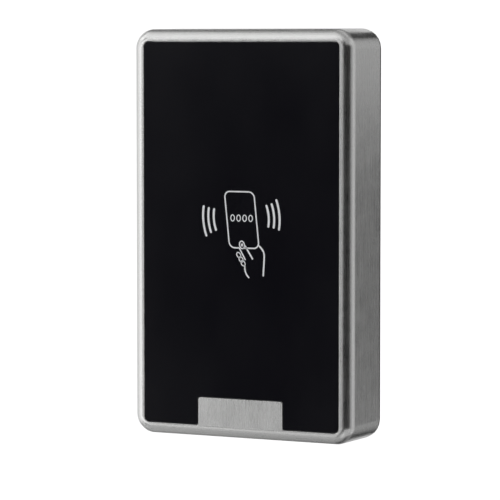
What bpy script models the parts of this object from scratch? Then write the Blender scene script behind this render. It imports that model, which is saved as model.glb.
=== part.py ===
"""Wall-mounted RFID card reader.

Frame: metres, +Z up, +X to the right seen from the front, +Y into the wall. The origin lies on the
wall plane (the back face of the wall plate), half way up the case. The front faces -Y.
"""

import math

import bmesh
import bpy
from mathutils import Vector

MM = 0.001
SKIN = 0.05 * MM  # air between two flat faces that rest on each other
SHARP = math.radians(35)  # edges that turn by more than this are shaded sharp

# Case: a drafted tray with a round front edge, open at the back
CASE_W = 71.5 * MM  # at the wall
CASE_H = 120.2 * MM  # at the wall
CASE_D = 19.8 * MM
WALL_GAP = 0.9 * MM  # filled by the wall seal
DRAFT_INSET = 0.18 * MM  # how far each side leans in from back to front
CORNER_R = 5.9 * MM
EDGE_R = 3.2 * MM
RIM_SIDE = 3.78 * MM
RIM_TOP = 3.55 * MM
RIM_BOTTOM = 3.43 * MM
TAB_W = 27.6 * MM
TAB_H = 8.3 * MM
PANEL_R = 1.6 * MM
RECESS_D = 2.6 * MM
LEDGE_T = 1.6 * MM
DEEP_W, DEEP_H, DEEP_R = 64.4 * MM, 113.0 * MM, 3.3 * MM
SKIRT_W, SKIRT_H, SKIRT_R = 67.6 * MM, 116.4 * MM, 4.8 * MM
SHOULDER_Y = -5.3 * MM
FRONT_Y = -(WALL_GAP + CASE_D)
LEDGE_FRONT_Y = FRONT_Y + RECESS_D
LEDGE_BACK_Y = LEDGE_FRONT_Y + LEDGE_T
OPENING_SIDE = CASE_W / 2 - DRAFT_INSET - RIM_SIDE
OPENING_TOP = CASE_H / 2 - DRAFT_INSET - RIM_TOP
OPENING_BOTTOM = -CASE_H / 2 + DRAFT_INSET + RIM_BOTTOM
WINDOW_SIDE, WINDOW_TOP, WINDOW_BOTTOM = 27.0 * MM, 50.5 * MM, -44.5 * MM

# Front panel and its tape
PANEL_SINK = 0.1 * MM
PANEL_T = 2.2 * MM
PANEL_GAP = 0.2 * MM
PANEL_LEFT = 0.15 * MM  # the panel sits this far left of the opening's middle
PANEL_Y = FRONT_Y + PANEL_SINK
TAPE_T = 0.2 * MM
TAPE_INSET = 0.6 * MM

# Board and what stands in front of it
BOARD_W, BOARD_TOP, BOARD_BOTTOM = 62.0 * MM, 49.4 * MM, -43.4 * MM
BOARD_Y, BOARD_T = -13.5 * MM, 1.6 * MM
BOARD_BACK = BOARD_Y + BOARD_T
BOARD_SCREW_X, BOARD_SCREW_TOP, BOARD_SCREW_BOTTOM = 28.9 * MM, 46.0 * MM, -39.0 * MM
BOARD_BOSS_R = 2.4 * MM
CARRIER_Y, CARRIER_T = -16.1 * MM, 1.2 * MM
CARRIER_BACK = CARRIER_Y + CARRIER_T
COIL_W, COIL_H, COIL_R, COIL_WIDTH, COIL_T = 48 * MM, 68 * MM, 8.8 * MM, 3.5 * MM, 1.3 * MM
LEG_X, LEG_TOP, LEG_BOTTOM = 23.5 * MM, 36.0 * MM, -35.5 * MM
PEG_R = 0.75 * MM
CARRIER_W, CARRIER_H = 52.0 * MM, 84.5 * MM
GUIDE_Z, GUIDE_W, GUIDE_H = 41.8 * MM, 14.0 * MM, 4.0 * MM

# Back cover, its screws, and its pockets for the wall plate's hooks and flange
COVER_W, COVER_H, COVER_R = 66.8 * MM, 115.6 * MM, 4.4 * MM
COVER_Y, COVER_T = -4.4 * MM, 1.6 * MM
COVER_BACK = COVER_Y + COVER_T
COVER_SCREW_X, COVER_SCREW_Z = 29.2 * MM, 53.5 * MM
COVER_BOSS_R = 3.4 * MM
POCKET_WALL = 1.0 * MM
HOOK_POCKET_D, HOOK_PLAY = 4.0 * MM, 0.6 * MM
LOCK_POCKET_W, LOCK_POCKET_LOW, LOCK_POCKET_HIGH = 16.4 * MM, -55.2 * MM, -45.6 * MM
CABLE_Z, CABLE_HOLE_R, CABLE_BORE_R = -13.0 * MM, 5.0 * MM, 3.5 * MM

# Wall plate: sheet steel with two hooks and a bottom flange
PLATE_W, PLATE_TOP, PLATE_BOTTOM, PLATE_T = 52.0 * MM, 56.8 * MM, -51.0 * MM, 1.2 * MM
PLATE_CABLE_R = 9.0 * MM
WALL_SCREW_Z = (31.0 * MM, -29.0 * MM, 43.0 * MM, -40.3 * MM)  # 60 mm and 83.3 mm pitches
SLOT_W, WALL_SLOT_H = 4.4 * MM, 7.0 * MM
HOOK_BLANK_W, HOOK_BLANK_H = 6.6 * MM, 10.4 * MM  # the openings the hooks are bent out of
HOOK_X, HOOK_Z, HOOK_W, HOOK_REACH, HOOK_UP = 14 * MM, 48 * MM, 6 * MM, 6.4 * MM, 3.5 * MM
LIFT = 4.0 * MM  # how far the reader rises to come off the hooks
FLANGE_W, FLANGE_REACH = 10.0 * MM, 13.0 * MM

# Lock screw: M3, upright, through the bottom wall into the flange's nut
LOCK_Y = -9.0 * MM
LOCK_SEAT_Z = -58.0 * MM
LOCK_R, LOCK_HOLE_R, LOCK_LENGTH = 1.45 * MM, 1.7 * MM, 12.0 * MM
LOCK_HEAD_R, LOCK_HEAD_T, LOCK_BORE_R = 2.75 * MM, 1.5 * MM, 3.1 * MM
LOCK_WASHER_T = 0.4 * MM
NUT_FLATS, NUT_BORE_R, NUT_T = 5.5 * MM, 1.6 * MM, 2.4 * MM

# Tamper switch
TAMPER_X, TAMPER_Z = -18.0 * MM, 10.0 * MM
PLUNGER_R = 1.5 * MM
SWITCH_W, SWITCH_T = 6.2 * MM, 1.9 * MM
PLUNGER_FLANGE_R, PLUNGER_FLANGE_Y, PLUNGER_FLANGE_T = 2.5 * MM, -7.4 * MM, 0.9 * MM


def clear_scene():
    for obj in list(bpy.data.objects):
        bpy.data.objects.remove(obj, do_unlink=True)


def material(name, colour, roughness, metallic=0.0, alpha=1.0):
    made = bpy.data.materials.new(name)
    made.use_nodes = True
    shader = made.node_tree.nodes["Principled BSDF"]
    shader.inputs["Base Color"].default_value = (*colour, 1.0)
    shader.inputs["Roughness"].default_value = roughness
    shader.inputs["Metallic"].default_value = metallic
    shader.inputs["Alpha"].default_value = alpha
    made.diffuse_color = (*colour, alpha)
    return made


def empty(name, location, parent=None):
    made = bpy.data.objects.new(name, None)
    made.location = location
    made.parent = parent
    bpy.context.scene.collection.objects.link(made)
    return made


def add(name, bm, surface, location=(0, 0, 0), parent=None, rotation=(0, 0, 0)):
    """A new object from a bmesh of closed shells, with its round faces shaded smooth."""
    bmesh.ops.recalc_face_normals(bm, faces=bm.faces)
    mesh = bpy.data.meshes.new(name)
    bm.to_mesh(mesh)
    bm.free()
    mesh.shade_smooth()
    mesh.set_sharp_from_angle(angle=SHARP)
    mesh.materials.append(surface)
    obj = bpy.data.objects.new(name, mesh)
    obj.location = location
    obj.rotation_euler = rotation
    obj.parent = parent
    bpy.context.scene.collection.objects.link(obj)
    return obj


def combine(obj, operation, bm, name):
    """Cuts the shells of a bmesh from the object, or joins them to it, in the object's own space."""
    helper = add(f"{obj.name}_{name}", bm, obj.data.materials[0], obj.location, obj.parent)
    helper.rotation_euler = obj.rotation_euler
    helper.hide_render = True
    helper.display_type = "WIRE"
    boolean = obj.modifiers.new(name, "BOOLEAN")
    boolean.operation = operation
    boolean.solver = "EXACT"
    boolean.object = helper
    return helper


def apply_booleans():
    """Makes every cut and join real, marks the sharp edges it left, and removes the helpers."""
    graph = bpy.context.evaluated_depsgraph_get()
    helpers = [obj for obj in bpy.data.objects if obj.display_type == "WIRE"]
    shaped = [obj for obj in bpy.data.objects if obj.modifiers and obj not in helpers]
    meshes = [bpy.data.meshes.new_from_object(obj.evaluated_get(graph)) for obj in shaped]
    for obj, mesh in zip(shaped, meshes):
        obj.modifiers.clear()
        obj.data = mesh
        mesh.shade_smooth()
        mesh.set_sharp_from_angle(angle=SHARP)
    for helper in helpers:
        bpy.data.objects.remove(helper, do_unlink=True)


# Outlines are lists of (x, z) points, and shells are lofts through rows of points.


def filleted(corners, steps):
    """Outline through (x, z, radius) corners, each rounded by an arc of its radius."""
    outline = []
    for i, (x, z, radius) in enumerate(corners):
        here = Vector((x, z))
        back = (Vector(corners[i - 1][:2]) - here).normalized()
        ahead = (Vector(corners[(i + 1) % len(corners)][:2]) - here).normalized()
        half = back.angle(ahead) / 2
        centre = here + (back + ahead).normalized() * radius / math.sin(half)
        start = here + back * radius / math.tan(half) - centre
        end = here + ahead * radius / math.tan(half) - centre
        first = math.atan2(start.y, start.x)
        sweep = (math.atan2(end.y, end.x) - first + math.pi) % (2 * math.pi) - math.pi
        for step in range(steps + 1):
            angle = first + sweep * step / steps
            outline.append(
                (centre.x + radius * math.cos(angle), centre.y + radius * math.sin(angle))
            )
    return outline


def rounded_rect(width, height, radius, steps=4, x=0.0, z=0.0):
    left, right = x - width / 2, x + width / 2
    low, high = z - height / 2, z + height / 2
    corners = [(left, low), (right, low), (right, high), (left, high)]
    return filleted([(*corner, radius) for corner in corners], steps)


def rect(width, height, x=0.0, z=0.0):
    left, right = x - width / 2, x + width / 2
    low, high = z - height / 2, z + height / 2
    return [(left, low), (right, low), (right, high), (left, high)]


def circle(radius, count, x=0.0, z=0.0):
    angles = [2 * math.pi * (i + 0.5) / count for i in range(count)]
    return [(x + radius * math.cos(a), z + radius * math.sin(a)) for a in angles]


def hexagon(across_flats, count):
    """A hexagon as count points along its sides, so that it lofts to a circle of count points."""
    outline = []
    for i in range(count):
        angle = 2 * math.pi * (i + 0.5) / count
        off_flat = (angle + math.pi / 6) % (math.pi / 3) - math.pi / 6
        radius = across_flats / 2 / math.cos(off_flat)
        outline.append((radius * math.cos(angle), radius * math.sin(angle)))
    return outline


def loft(bm, rows, ring=False):
    """Skins rows of equally many points into one closed shell, capped, or closed into a ring."""
    verts = [[bm.verts.new(point) for point in row] for row in rows]
    pairs = list(zip(verts, verts[1:]))
    if ring:
        pairs.append((verts[-1], verts[0]))
    else:
        bm.faces.new(verts[0])
        bm.faces.new(verts[-1])
    for row, following in pairs:
        for i in range(len(row)):
            j = (i + 1) % len(row)
            bm.faces.new((row[i], row[j], following[j], following[i]))
    return bm


def row_at(outline, y):
    return [(x, y, z) for x, z in outline]


def prism(bm, outline, front, back):
    return loft(bm, [row_at(outline, front), row_at(outline, back)])


def frame_prism(bm, outer, inner, front, back):
    """A flat ring between two outlines of equally many points."""
    rows = [row_at(outer, front), row_at(outer, back), row_at(inner, back), row_at(inner, front)]
    return loft(bm, rows, ring=True)


def side_prism(bm, outline, left, right):
    """A prism along X, its outline in (y, z) points."""
    return loft(bm, [[(x, y, z) for y, z in outline] for x in (left, right)])


def turned(bm, profile, count, ring=False, x=0.0, z=0.0):
    """A shape turned round an axis along Y, from its (radius, y) profile."""
    return loft(bm, [row_at(circle(r, count, x, z), y) for r, y in profile], ring)


def smooth_piece(name, outline, front, back, surface, **placing):
    return add(name, prism(bmesh.new(), outline, front, back), surface, **placing)


# The case and the front


def outer_rows():
    """The case's skin: a round front edge, then the drafted side down to the wall."""
    steps = 9
    rows = []
    for step in range(steps + 1):
        turn = math.pi / 2 * step / steps
        inset = DRAFT_INSET + EDGE_R * (1 - math.sin(turn))
        rows.append((inset, FRONT_Y + EDGE_R * (1 - math.cos(turn))))
    rows.append((0.0, -WALL_GAP))
    return [
        row_at(rounded_rect(CASE_W - 2 * i, CASE_H - 2 * i, CORNER_R - i, 9), y) for i, y in rows
    ]


def opening_outline(gap=0.0, steps=5):
    """The panel's opening, notched for the tab. A gap makes it smaller all round."""
    side, top, bottom = OPENING_SIDE - gap, OPENING_TOP - gap, OPENING_BOTTOM + gap
    notch_side, notch_top = TAB_W / 2 + gap, OPENING_BOTTOM + TAB_H + gap
    inner_r, outer_r = 0.5 * MM, 0.8 * MM
    corners = [
        (-side, bottom, PANEL_R),
        (-notch_side, bottom, inner_r),
        (-notch_side, notch_top, outer_r),
        (notch_side, notch_top, outer_r),
        (notch_side, bottom, inner_r),
        (side, bottom, PANEL_R),
        (side, top, PANEL_R),
        (-side, top, PANEL_R),
    ]
    return filleted(corners, steps)


def window_outline(grow=0.0, steps=5):
    height = WINDOW_TOP - WINDOW_BOTTOM + 2 * grow
    middle = (WINDOW_TOP + WINDOW_BOTTOM) / 2
    return rounded_rect(2 * WINDOW_SIDE + 2 * grow, height, 3.0 * MM, steps, z=middle)


def board_screw_places():
    heights = (BOARD_SCREW_TOP, BOARD_SCREW_BOTTOM)
    return [(x, z) for z in heights for x in (-BOARD_SCREW_X, BOARD_SCREW_X)]


def cover_screw_places():
    heights = (COVER_SCREW_Z, -COVER_SCREW_Z)
    return [(x, z) for z in heights for x in (-COVER_SCREW_X, COVER_SCREW_X)]


def make_case(parent):
    zinc = material("satin_zinc", (0.58, 0.57, 0.55), 0.32, 1.0)
    case = add("case", loft(bmesh.new(), outer_rows()), zinc, parent=parent)
    past = 1.0 * MM
    front = prism(bmesh.new(), opening_outline(), FRONT_Y - past, LEDGE_FRONT_Y)
    combine(case, "DIFFERENCE", front, "recess")
    window = prism(bmesh.new(), window_outline(), LEDGE_FRONT_Y - past / 2, LEDGE_BACK_Y + past / 2)
    combine(case, "DIFFERENCE", window, "window")
    deep = rounded_rect(DEEP_W, DEEP_H, DEEP_R)
    cavity = combine(
        case, "DIFFERENCE", prism(bmesh.new(), deep, LEDGE_BACK_Y, SHOULDER_Y + past), "cavity"
    )
    posts = bmesh.new()
    for x, z in cover_screw_places():
        prism(posts, circle(COVER_BOSS_R, 20, x, z), LEDGE_BACK_Y - past, SHOULDER_Y + 2 * past)
    for x, z in board_screw_places():
        prism(posts, circle(BOARD_BOSS_R, 16, x, z), LEDGE_BACK_Y - past, BOARD_Y - SKIN)
    combine(cavity, "DIFFERENCE", posts, "posts")
    skirt = prism(bmesh.new(), rounded_rect(SKIRT_W, SKIRT_H, SKIRT_R), SHOULDER_Y, past)
    combine(case, "DIFFERENCE", skirt, "skirt")
    holes = bmesh.new()
    for x, z in cover_screw_places():
        prism(holes, circle(1.25 * MM, 12, x, z), SHOULDER_Y - 9.2 * MM, SHOULDER_Y + past)
    for x, z in board_screw_places():
        prism(holes, circle(1.05 * MM, 12, x, z), LEDGE_BACK_Y - 0.5 * MM, BOARD_Y + past)
    combine(case, "DIFFERENCE", holes, "screw_holes")
    combine(case, "DIFFERENCE", lock_bore(), "lock_bore")
    return case


def lock_bore():
    """The stepped hole through the bottom wall for the lock screw."""
    past = 1.0 * MM
    steps = [
        (LOCK_BORE_R, -CASE_H / 2 - past),
        (LOCK_BORE_R, LOCK_SEAT_Z),
        (LOCK_HOLE_R, LOCK_SEAT_Z),
        (LOCK_HOLE_R, -DEEP_H / 2 + past),
    ]
    rows = [[(x, LOCK_Y + y, z) for x, y in circle(radius, 20)] for radius, z in steps]
    return loft(bmesh.new(), rows)


def make_panel(parent):
    black = material("black_panel", (0.008, 0.008, 0.010), 0.08)
    outline = [(x - PANEL_LEFT, z) for x, z in opening_outline(PANEL_GAP)]
    smooth_piece("front_panel", outline, PANEL_Y, PANEL_Y + PANEL_T, black, parent=parent)


def make_tape(parent):
    foam = material("tape_foam", (0.05, 0.05, 0.05), 0.9)
    front = PANEL_Y + PANEL_T + SKIN
    bm = prism(bmesh.new(), opening_outline(TAPE_INSET), front, front + TAPE_T)
    tape = add("panel_tape", bm, foam, parent=parent)
    middle = prism(bmesh.new(), window_outline(TAPE_INSET), front - MM, front + MM)
    combine(tape, "DIFFERENCE", middle, "middle")


# The aerial and the light guide, in front of the board


def make_coil(parent):
    copper = material("enamelled_copper", (0.55, 0.21, 0.09), 0.35, 1.0)
    outer = rounded_rect(COIL_W, COIL_H, COIL_R, 5)
    within = 2 * COIL_WIDTH
    inner = rounded_rect(COIL_W - within, COIL_H - within, COIL_R - COIL_WIDTH, 5)
    back = CARRIER_Y - SKIN
    bm = frame_prism(bmesh.new(), outer, inner, back - COIL_T, back)
    add("antenna_coil", bm, copper, parent=parent)


def make_carrier(parent):
    nylon = material("white_nylon", (0.72, 0.71, 0.68), 0.5)
    middle = BOARD_SCREW_TOP + 0.5 * MM - CARRIER_H / 2
    plate = rounded_rect(CARRIER_W, CARRIER_H, 1.5 * MM, 3, z=middle)
    bm = prism(bmesh.new(), plate, CARRIER_Y, CARRIER_BACK)
    carrier = add("coil_carrier", bm, nylon, parent=parent)
    play = 0.3 * MM
    hub_shrink = 2 * (COIL_WIDTH + play)
    hub = rounded_rect(COIL_W - hub_shrink, COIL_H - hub_shrink, COIL_R - COIL_WIDTH - play)
    more = prism(bmesh.new(), hub, CARRIER_Y - 1.1 * MM, CARRIER_Y + CARRIER_T / 2)
    for x in (-LEG_X, LEG_X):
        for z in (LEG_TOP, LEG_BOTTOM):
            leg = [
                (2 * PEG_R, CARRIER_Y + CARRIER_T / 2),
                (2 * PEG_R, BOARD_Y - SKIN),
                (PEG_R, BOARD_Y - SKIN),
                (PEG_R, BOARD_BACK + 0.4 * MM),
            ]
            turned(more, leg, 12, x=x, z=z)
    combine(carrier, "UNION", more, "hub_and_legs")
    slot_play = 0.4 * MM
    slot = rounded_rect(GUIDE_W + slot_play, GUIDE_H + slot_play, 1.2 * MM, 3, z=GUIDE_Z)
    combine(carrier, "DIFFERENCE", prism(bmesh.new(), slot, CARRIER_Y - MM, CARRIER_BACK + MM), "slot")


def make_ferrite(parent):
    ferrite = material("ferrite", (0.06, 0.055, 0.055), 0.7)
    outline = rounded_rect(43 * MM, 66 * MM, 1.0 * MM, 3)
    front = CARRIER_BACK + SKIN
    smooth_piece("ferrite_sheet", outline, front, front + 0.4 * MM, ferrite, parent=parent)


def make_light_guide(parent):
    clear = material("clear_acrylic", (0.8, 0.85, 0.88), 0.1, alpha=0.5)
    front = PANEL_Y + PANEL_T + 0.2 * MM
    flange_front = CARRIER_BACK + SKIN
    bar = rounded_rect(GUIDE_W, GUIDE_H, MM, 3, z=GUIDE_Z)
    flange = rounded_rect(GUIDE_W + 2.4 * MM, GUIDE_H + 2 * MM, MM, 3, z=GUIDE_Z)
    rows = [
        row_at(bar, front),
        row_at(bar, flange_front),
        row_at(flange, flange_front),
        row_at(flange, flange_front + 0.5 * MM),
    ]
    add("light_guide", loft(bmesh.new(), rows), clear, parent=parent)


def make_leds(parent):
    lens = material("led_lens", (0.85, 0.85, 0.75), 0.25)
    for side, name in ((-1, "status_led_left"), (1, "status_led_right")):
        rows = [
            row_at(rect(1.2 * MM, 1.0 * MM), -0.6 * MM),
            row_at(rect(1.4 * MM, 1.2 * MM), -0.3 * MM),
            row_at(rect(2.0 * MM, 1.25 * MM), -0.3 * MM),
            row_at(rect(2.0 * MM, 1.25 * MM), 0.0),
        ]
        place = (side * 4.0 * MM, BOARD_Y - SKIN, GUIDE_Z)
        add(name, loft(bmesh.new(), rows), lens, place, parent)


# The board. Each part on its back stands with its base at its own y = 0 and rises towards the wall.


def make_board(parent):
    resin = material("green_resist", (0.02, 0.16, 0.07), 0.4)
    height = BOARD_TOP - BOARD_BOTTOM
    outline = rounded_rect(BOARD_W, height, MM, 3, z=(BOARD_TOP + BOARD_BOTTOM) / 2)
    bm = prism(bmesh.new(), outline, BOARD_Y, BOARD_BACK)
    board = add("main_board", bm, resin, parent=parent)
    holes = bmesh.new()
    for x, z in board_screw_places():
        prism(holes, circle(1.15 * MM, 12, x, z), BOARD_Y - MM, BOARD_BACK + MM)
    for x in (-LEG_X, LEG_X):
        for z in (LEG_TOP, LEG_BOTTOM):
            prism(holes, circle(PEG_R + 0.15 * MM, 10, x, z), BOARD_Y - MM, BOARD_BACK + MM)
    combine(board, "DIFFERENCE", holes, "holes")


def on_board(name, bm, surface, parent, x, z, turn=0.0):
    place = (x * MM, BOARD_BACK + SKIN, z * MM)
    return add(name, bm, surface, place, parent, (0, math.radians(turn), 0))


def chamfered_block(width, length, height, chamfer):
    """A moulded block with a bevelled top edge."""
    rows = [
        row_at(rect(width, length), 0.0),
        row_at(rect(width, length), height - chamfer),
        row_at(rect(width - 2 * chamfer, length - 2 * chamfer), height),
    ]
    return loft(bmesh.new(), rows)


def make_chips(parent):
    epoxy = material("black_epoxy", (0.02, 0.02, 0.02), 0.55)
    controller = chamfered_block(width=7 * MM, length=7 * MM, height=0.9 * MM, chamfer=0.1 * MM)
    on_board("microcontroller", controller, epoxy, parent, 6, 16)
    make_rf_chip(epoxy, parent)
    regulator = chamfered_block(width=6.5 * MM, length=6.1 * MM, height=2.3 * MM, chamfer=0.3 * MM)
    on_board("regulator", regulator, epoxy, parent, 18, -3)
    diode = chamfered_block(width=3.6 * MM, length=4.6 * MM, height=2.2 * MM, chamfer=0.4 * MM)
    on_board("protection_diode", diode, epoxy, parent, 18, -13)


def make_rf_chip(surface, parent):
    """A sixteen-lead chip: body and bent leads as one profile, then slotted between its leads."""
    half_body, half_span, length = 1.95 * MM, 3.0 * MM, 9.9 * MM
    lead_top, lead_t = 0.8 * MM, 0.2 * MM
    right = [
        (half_body, 0.15 * MM),
        (half_body, lead_top),
        (half_body + 0.3 * MM, lead_top),
        (half_span - 0.5 * MM, 0.0),
        (half_span, 0.0),
        (half_span, lead_t),
        (half_span - 0.4 * MM, lead_t),
        (half_body + 0.45 * MM, lead_top + lead_t),
        (half_body, lead_top + lead_t),
        (half_body - 0.15 * MM, 1.6 * MM),
    ]
    outline = right + [(-x, y) for x, y in reversed(right)]
    rows = [[(x, y, z) for x, y in outline] for z in (-length / 2, length / 2)]
    chip = on_board("rf_chip", loft(bmesh.new(), rows), surface, parent, -8, -2)
    gaps = bmesh.new()
    pitch = 1.27 * MM
    for side in (-1, 1):
        for i in range(9):
            slot = rect(1.2 * MM, 0.8 * MM, side * (half_body + 0.68 * MM), (i - 4) * pitch)
            prism(gaps, slot, -MM, 2 * MM)
    combine(chip, "DIFFERENCE", gaps, "lead_gaps")


def make_crystal(parent):
    nickel = material("nickel_can", (0.6, 0.6, 0.6), 0.25, 1.0)
    can = rounded_rect(10.2 * MM, 3.9 * MM, 1.9 * MM, 4)
    base = rounded_rect(11.2 * MM, 4.8 * MM, 2.3 * MM, 4)
    rows = [
        row_at(base, 0.0),
        row_at(base, 0.5 * MM),
        row_at(can, 0.5 * MM),
        row_at(can, 3.3 * MM),
        row_at(rounded_rect(9.6 * MM, 3.3 * MM, 1.6 * MM, 4), 3.6 * MM),
    ]
    on_board("crystal", loft(bmesh.new(), rows), nickel, parent, -4, 27)


def make_inductor(parent):
    grey = material("ferrite_grey", (0.12, 0.12, 0.13), 0.6)
    rows = [
        row_at(rounded_rect(7.3 * MM, 7.3 * MM, 1.2 * MM, 4), 0.0),
        row_at(rounded_rect(7.3 * MM, 7.3 * MM, 1.2 * MM, 4), 3.1 * MM),
        row_at(rounded_rect(6.9 * MM, 6.9 * MM, 2.2 * MM, 4), 3.4 * MM),
    ]
    on_board("inductor", loft(bmesh.new(), rows), grey, parent, 18, 8)


def make_capacitors(parent):
    sleeve = material("capacitor_can", (0.62, 0.63, 0.65), 0.3, 1.0)
    count = 20
    base = hexagon(6.6 * MM, count)
    profile = [(3.15, 0.9), (3.15, 1.5), (2.95, 1.7), (3.15, 1.9), (3.15, 5.1), (2.85, 5.4)]
    for name, z in (("capacitor_upper", -8), ("capacitor_lower", -17)):
        rows = [row_at(base, 0.0), row_at(base, 0.9 * MM)]
        rows += [row_at(circle(r * MM, count), y * MM) for r, y in profile]
        on_board(name, loft(bmesh.new(), rows), sleeve, parent, -23, z)


def make_buzzer(parent):
    black = material("buzzer_plastic", (0.03, 0.03, 0.03), 0.45)
    profile = [(6.0, 0.0), (6.0, 5.4), (5.6, 5.8), (1.3, 5.8), (1.0, 5.5), (1.0, 4.2)]
    bm = turned(bmesh.new(), [(r * MM, y * MM) for r, y in profile], 28)
    on_board("buzzer", bm, black, parent, -15, -31)


def make_wire_connector(parent):
    """An eight-way pin header in an open-topped housing."""
    width, depth, height = 19.6 * MM, 5.8 * MM, 5.8 * MM
    wall, floor = 0.9 * MM, 1.2 * MM
    ways, pitch, pin_w = 8, 2.0 * MM, 0.5 * MM
    ivory = material("ivory_nylon", (0.78, 0.74, 0.64), 0.5)
    housing = prism(bmesh.new(), rect(width, depth), 0.0, height)
    connector = on_board("wire_connector", housing, ivory, parent, 17, -30)
    hollow = prism(bmesh.new(), rect(width - 2 * wall, depth - 2 * wall), floor, height + MM)
    combine(connector, "DIFFERENCE", hollow, "hollow")
    pins = bmesh.new()
    for i in range(ways):
        place = (i - (ways - 1) / 2) * pitch
        prism(pins, rect(pin_w, pin_w, place), floor / 2, height - floor)
    combine(connector, "UNION", pins, "pins")


# The tamper switch


def make_tamper(parent):
    axis = empty("tamper_axis", (TAMPER_X, 0, TAMPER_Z), parent)
    black = material("switch_plastic", (0.04, 0.04, 0.045), 0.5)
    base = BOARD_BACK + SKIN
    body = prism(bmesh.new(), rect(SWITCH_W, SWITCH_W), base, base + SWITCH_T)
    switch = add("tamper_switch", body, black, parent=axis)
    top = base + SWITCH_T
    knob = turned(bmesh.new(), [(MM, top - 0.5 * MM), (MM, top + 0.4 * MM)], 14)
    combine(switch, "UNION", knob, "button")
    white = material("plunger_acetal", (0.8, 0.8, 0.78), 0.4)
    profile = [
        (1.1 * MM, top + 0.5 * MM),
        (1.1 * MM, PLUNGER_FLANGE_Y),
        (PLUNGER_FLANGE_R, PLUNGER_FLANGE_Y),
        (PLUNGER_FLANGE_R, PLUNGER_FLANGE_Y + PLUNGER_FLANGE_T),
        (PLUNGER_R, PLUNGER_FLANGE_Y + PLUNGER_FLANGE_T),
        (PLUNGER_R, -0.6 * MM),
        (PLUNGER_R - 0.5 * MM, -0.1 * MM),
    ]
    add("tamper_plunger", turned(bmesh.new(), profile, 16), white, parent=axis)
    make_tamper_spring(axis, top + SKIN, PLUNGER_FLANGE_Y - SKIN)


def make_tamper_spring(axis, front, back):
    """A compression spring between the switch and the plunger's flange."""
    steel = material("spring_steel", (0.55, 0.55, 0.56), 0.3, 1.0)
    wire_r, coil_r, turns, per_turn = 0.2 * MM, 1.75 * MM, 3, 14
    curve = bpy.data.curves.new("tamper_spring", "CURVE")
    curve.dimensions = "3D"
    curve.bevel_depth = wire_r
    curve.bevel_resolution = 1
    curve.use_fill_caps = True
    spline = curve.splines.new("POLY")
    count = turns * per_turn
    spline.points.add(count)
    for i, point in enumerate(spline.points):
        angle = 2 * math.pi * i / per_turn
        y = front + wire_r + (back - front - 2 * wire_r) * i / count
        point.co = (coil_r * math.cos(angle), y, coil_r * math.sin(angle), 1.0)
    curve.materials.append(steel)
    spring = bpy.data.objects.new("tamper_spring", curve)
    spring.parent = axis
    bpy.context.scene.collection.objects.link(spring)


# The back cover, the seals and the cable's gland


def hook_pocket_span():
    """Lowest and highest z of a hook's pocket, which holds the hook as the reader rises by LIFT."""
    return HOOK_Z - LIFT - 0.3 * MM, HOOK_Z + PLATE_T + HOOK_UP + 0.5 * MM


def hook_pocket_cut(bm, x):
    """The slot for one hook and the pocket in which the hook's tip stands behind the cover."""
    low, top = hook_pocket_span()
    slot_top = HOOK_Z + PLATE_T + 0.1 * MM
    deep = COVER_Y - HOOK_POCKET_D
    outline = [
        (deep, low),
        (deep, top),
        (COVER_Y, top),
        (COVER_Y, slot_top),
        (COVER_BACK + MM, slot_top),
        (COVER_BACK + MM, low),
    ]
    half = HOOK_W / 2 + HOOK_PLAY
    side_prism(bm, outline, x - half, x + half)


def hook_pocket_shell(bm, x):
    low, top = hook_pocket_span()
    width = HOOK_W + 2 * (HOOK_PLAY + POCKET_WALL)
    outline = rect(width, top - low + 2 * POCKET_WALL, x, (low + top) / 2)
    prism(bm, outline, COVER_Y - HOOK_POCKET_D - POCKET_WALL, COVER_Y + COVER_T / 2)


def lock_pocket(bm, grow, front, back):
    """The well for the plate's flange at the bottom. It grows by a wall's thickness for its shell."""
    height = LOCK_POCKET_HIGH - LOCK_POCKET_LOW + 2 * grow
    middle = (LOCK_POCKET_HIGH + LOCK_POCKET_LOW) / 2
    return prism(bm, rect(LOCK_POCKET_W + 2 * grow, height, z=middle), front - grow, back)


def lock_pocket_hole(bm):
    """The lock screw's way through the well's lower wall."""
    past = 0.8 * MM
    rows = [
        [(x, LOCK_Y + y, z) for x, y in circle(LOCK_HOLE_R + 0.1 * MM, 16)]
        for z in (LOCK_POCKET_LOW - POCKET_WALL - past, LOCK_POCKET_LOW + past)
    ]
    return loft(bm, rows)


def make_back_cover(parent):
    plastic = material("black_abs", (0.03, 0.03, 0.032), 0.5)
    plate = prism(bmesh.new(), rounded_rect(COVER_W, COVER_H, COVER_R), COVER_Y, COVER_BACK)
    cover = add("back_cover", plate, plastic, parent=parent)
    pocket_front = -FLANGE_REACH - 0.6 * MM
    shells = lock_pocket(bmesh.new(), POCKET_WALL, pocket_front, COVER_Y + COVER_T / 2)
    for x in (-HOOK_X, HOOK_X):
        hook_pocket_shell(shells, x)
    combine(cover, "UNION", shells, "pockets")
    cuts = lock_pocket(bmesh.new(), 0.0, pocket_front, COVER_BACK + MM)
    for x in (-HOOK_X, HOOK_X):
        hook_pocket_cut(cuts, x)
    for x, z in cover_screw_places():
        prism(cuts, circle(1.35 * MM, 12, x, z), COVER_Y - MM, COVER_BACK + MM)
    hole = circle(PLUNGER_R + 0.15 * MM, 16, TAMPER_X, TAMPER_Z)
    prism(cuts, hole, COVER_Y - MM, COVER_BACK + MM)
    prism(cuts, circle(CABLE_HOLE_R, 24, z=CABLE_Z), COVER_Y - MM, COVER_BACK + MM)
    combine(cover, "DIFFERENCE", cuts, "openings")
    combine(cover, "DIFFERENCE", lock_pocket_hole(bmesh.new()), "lock_hole")


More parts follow.
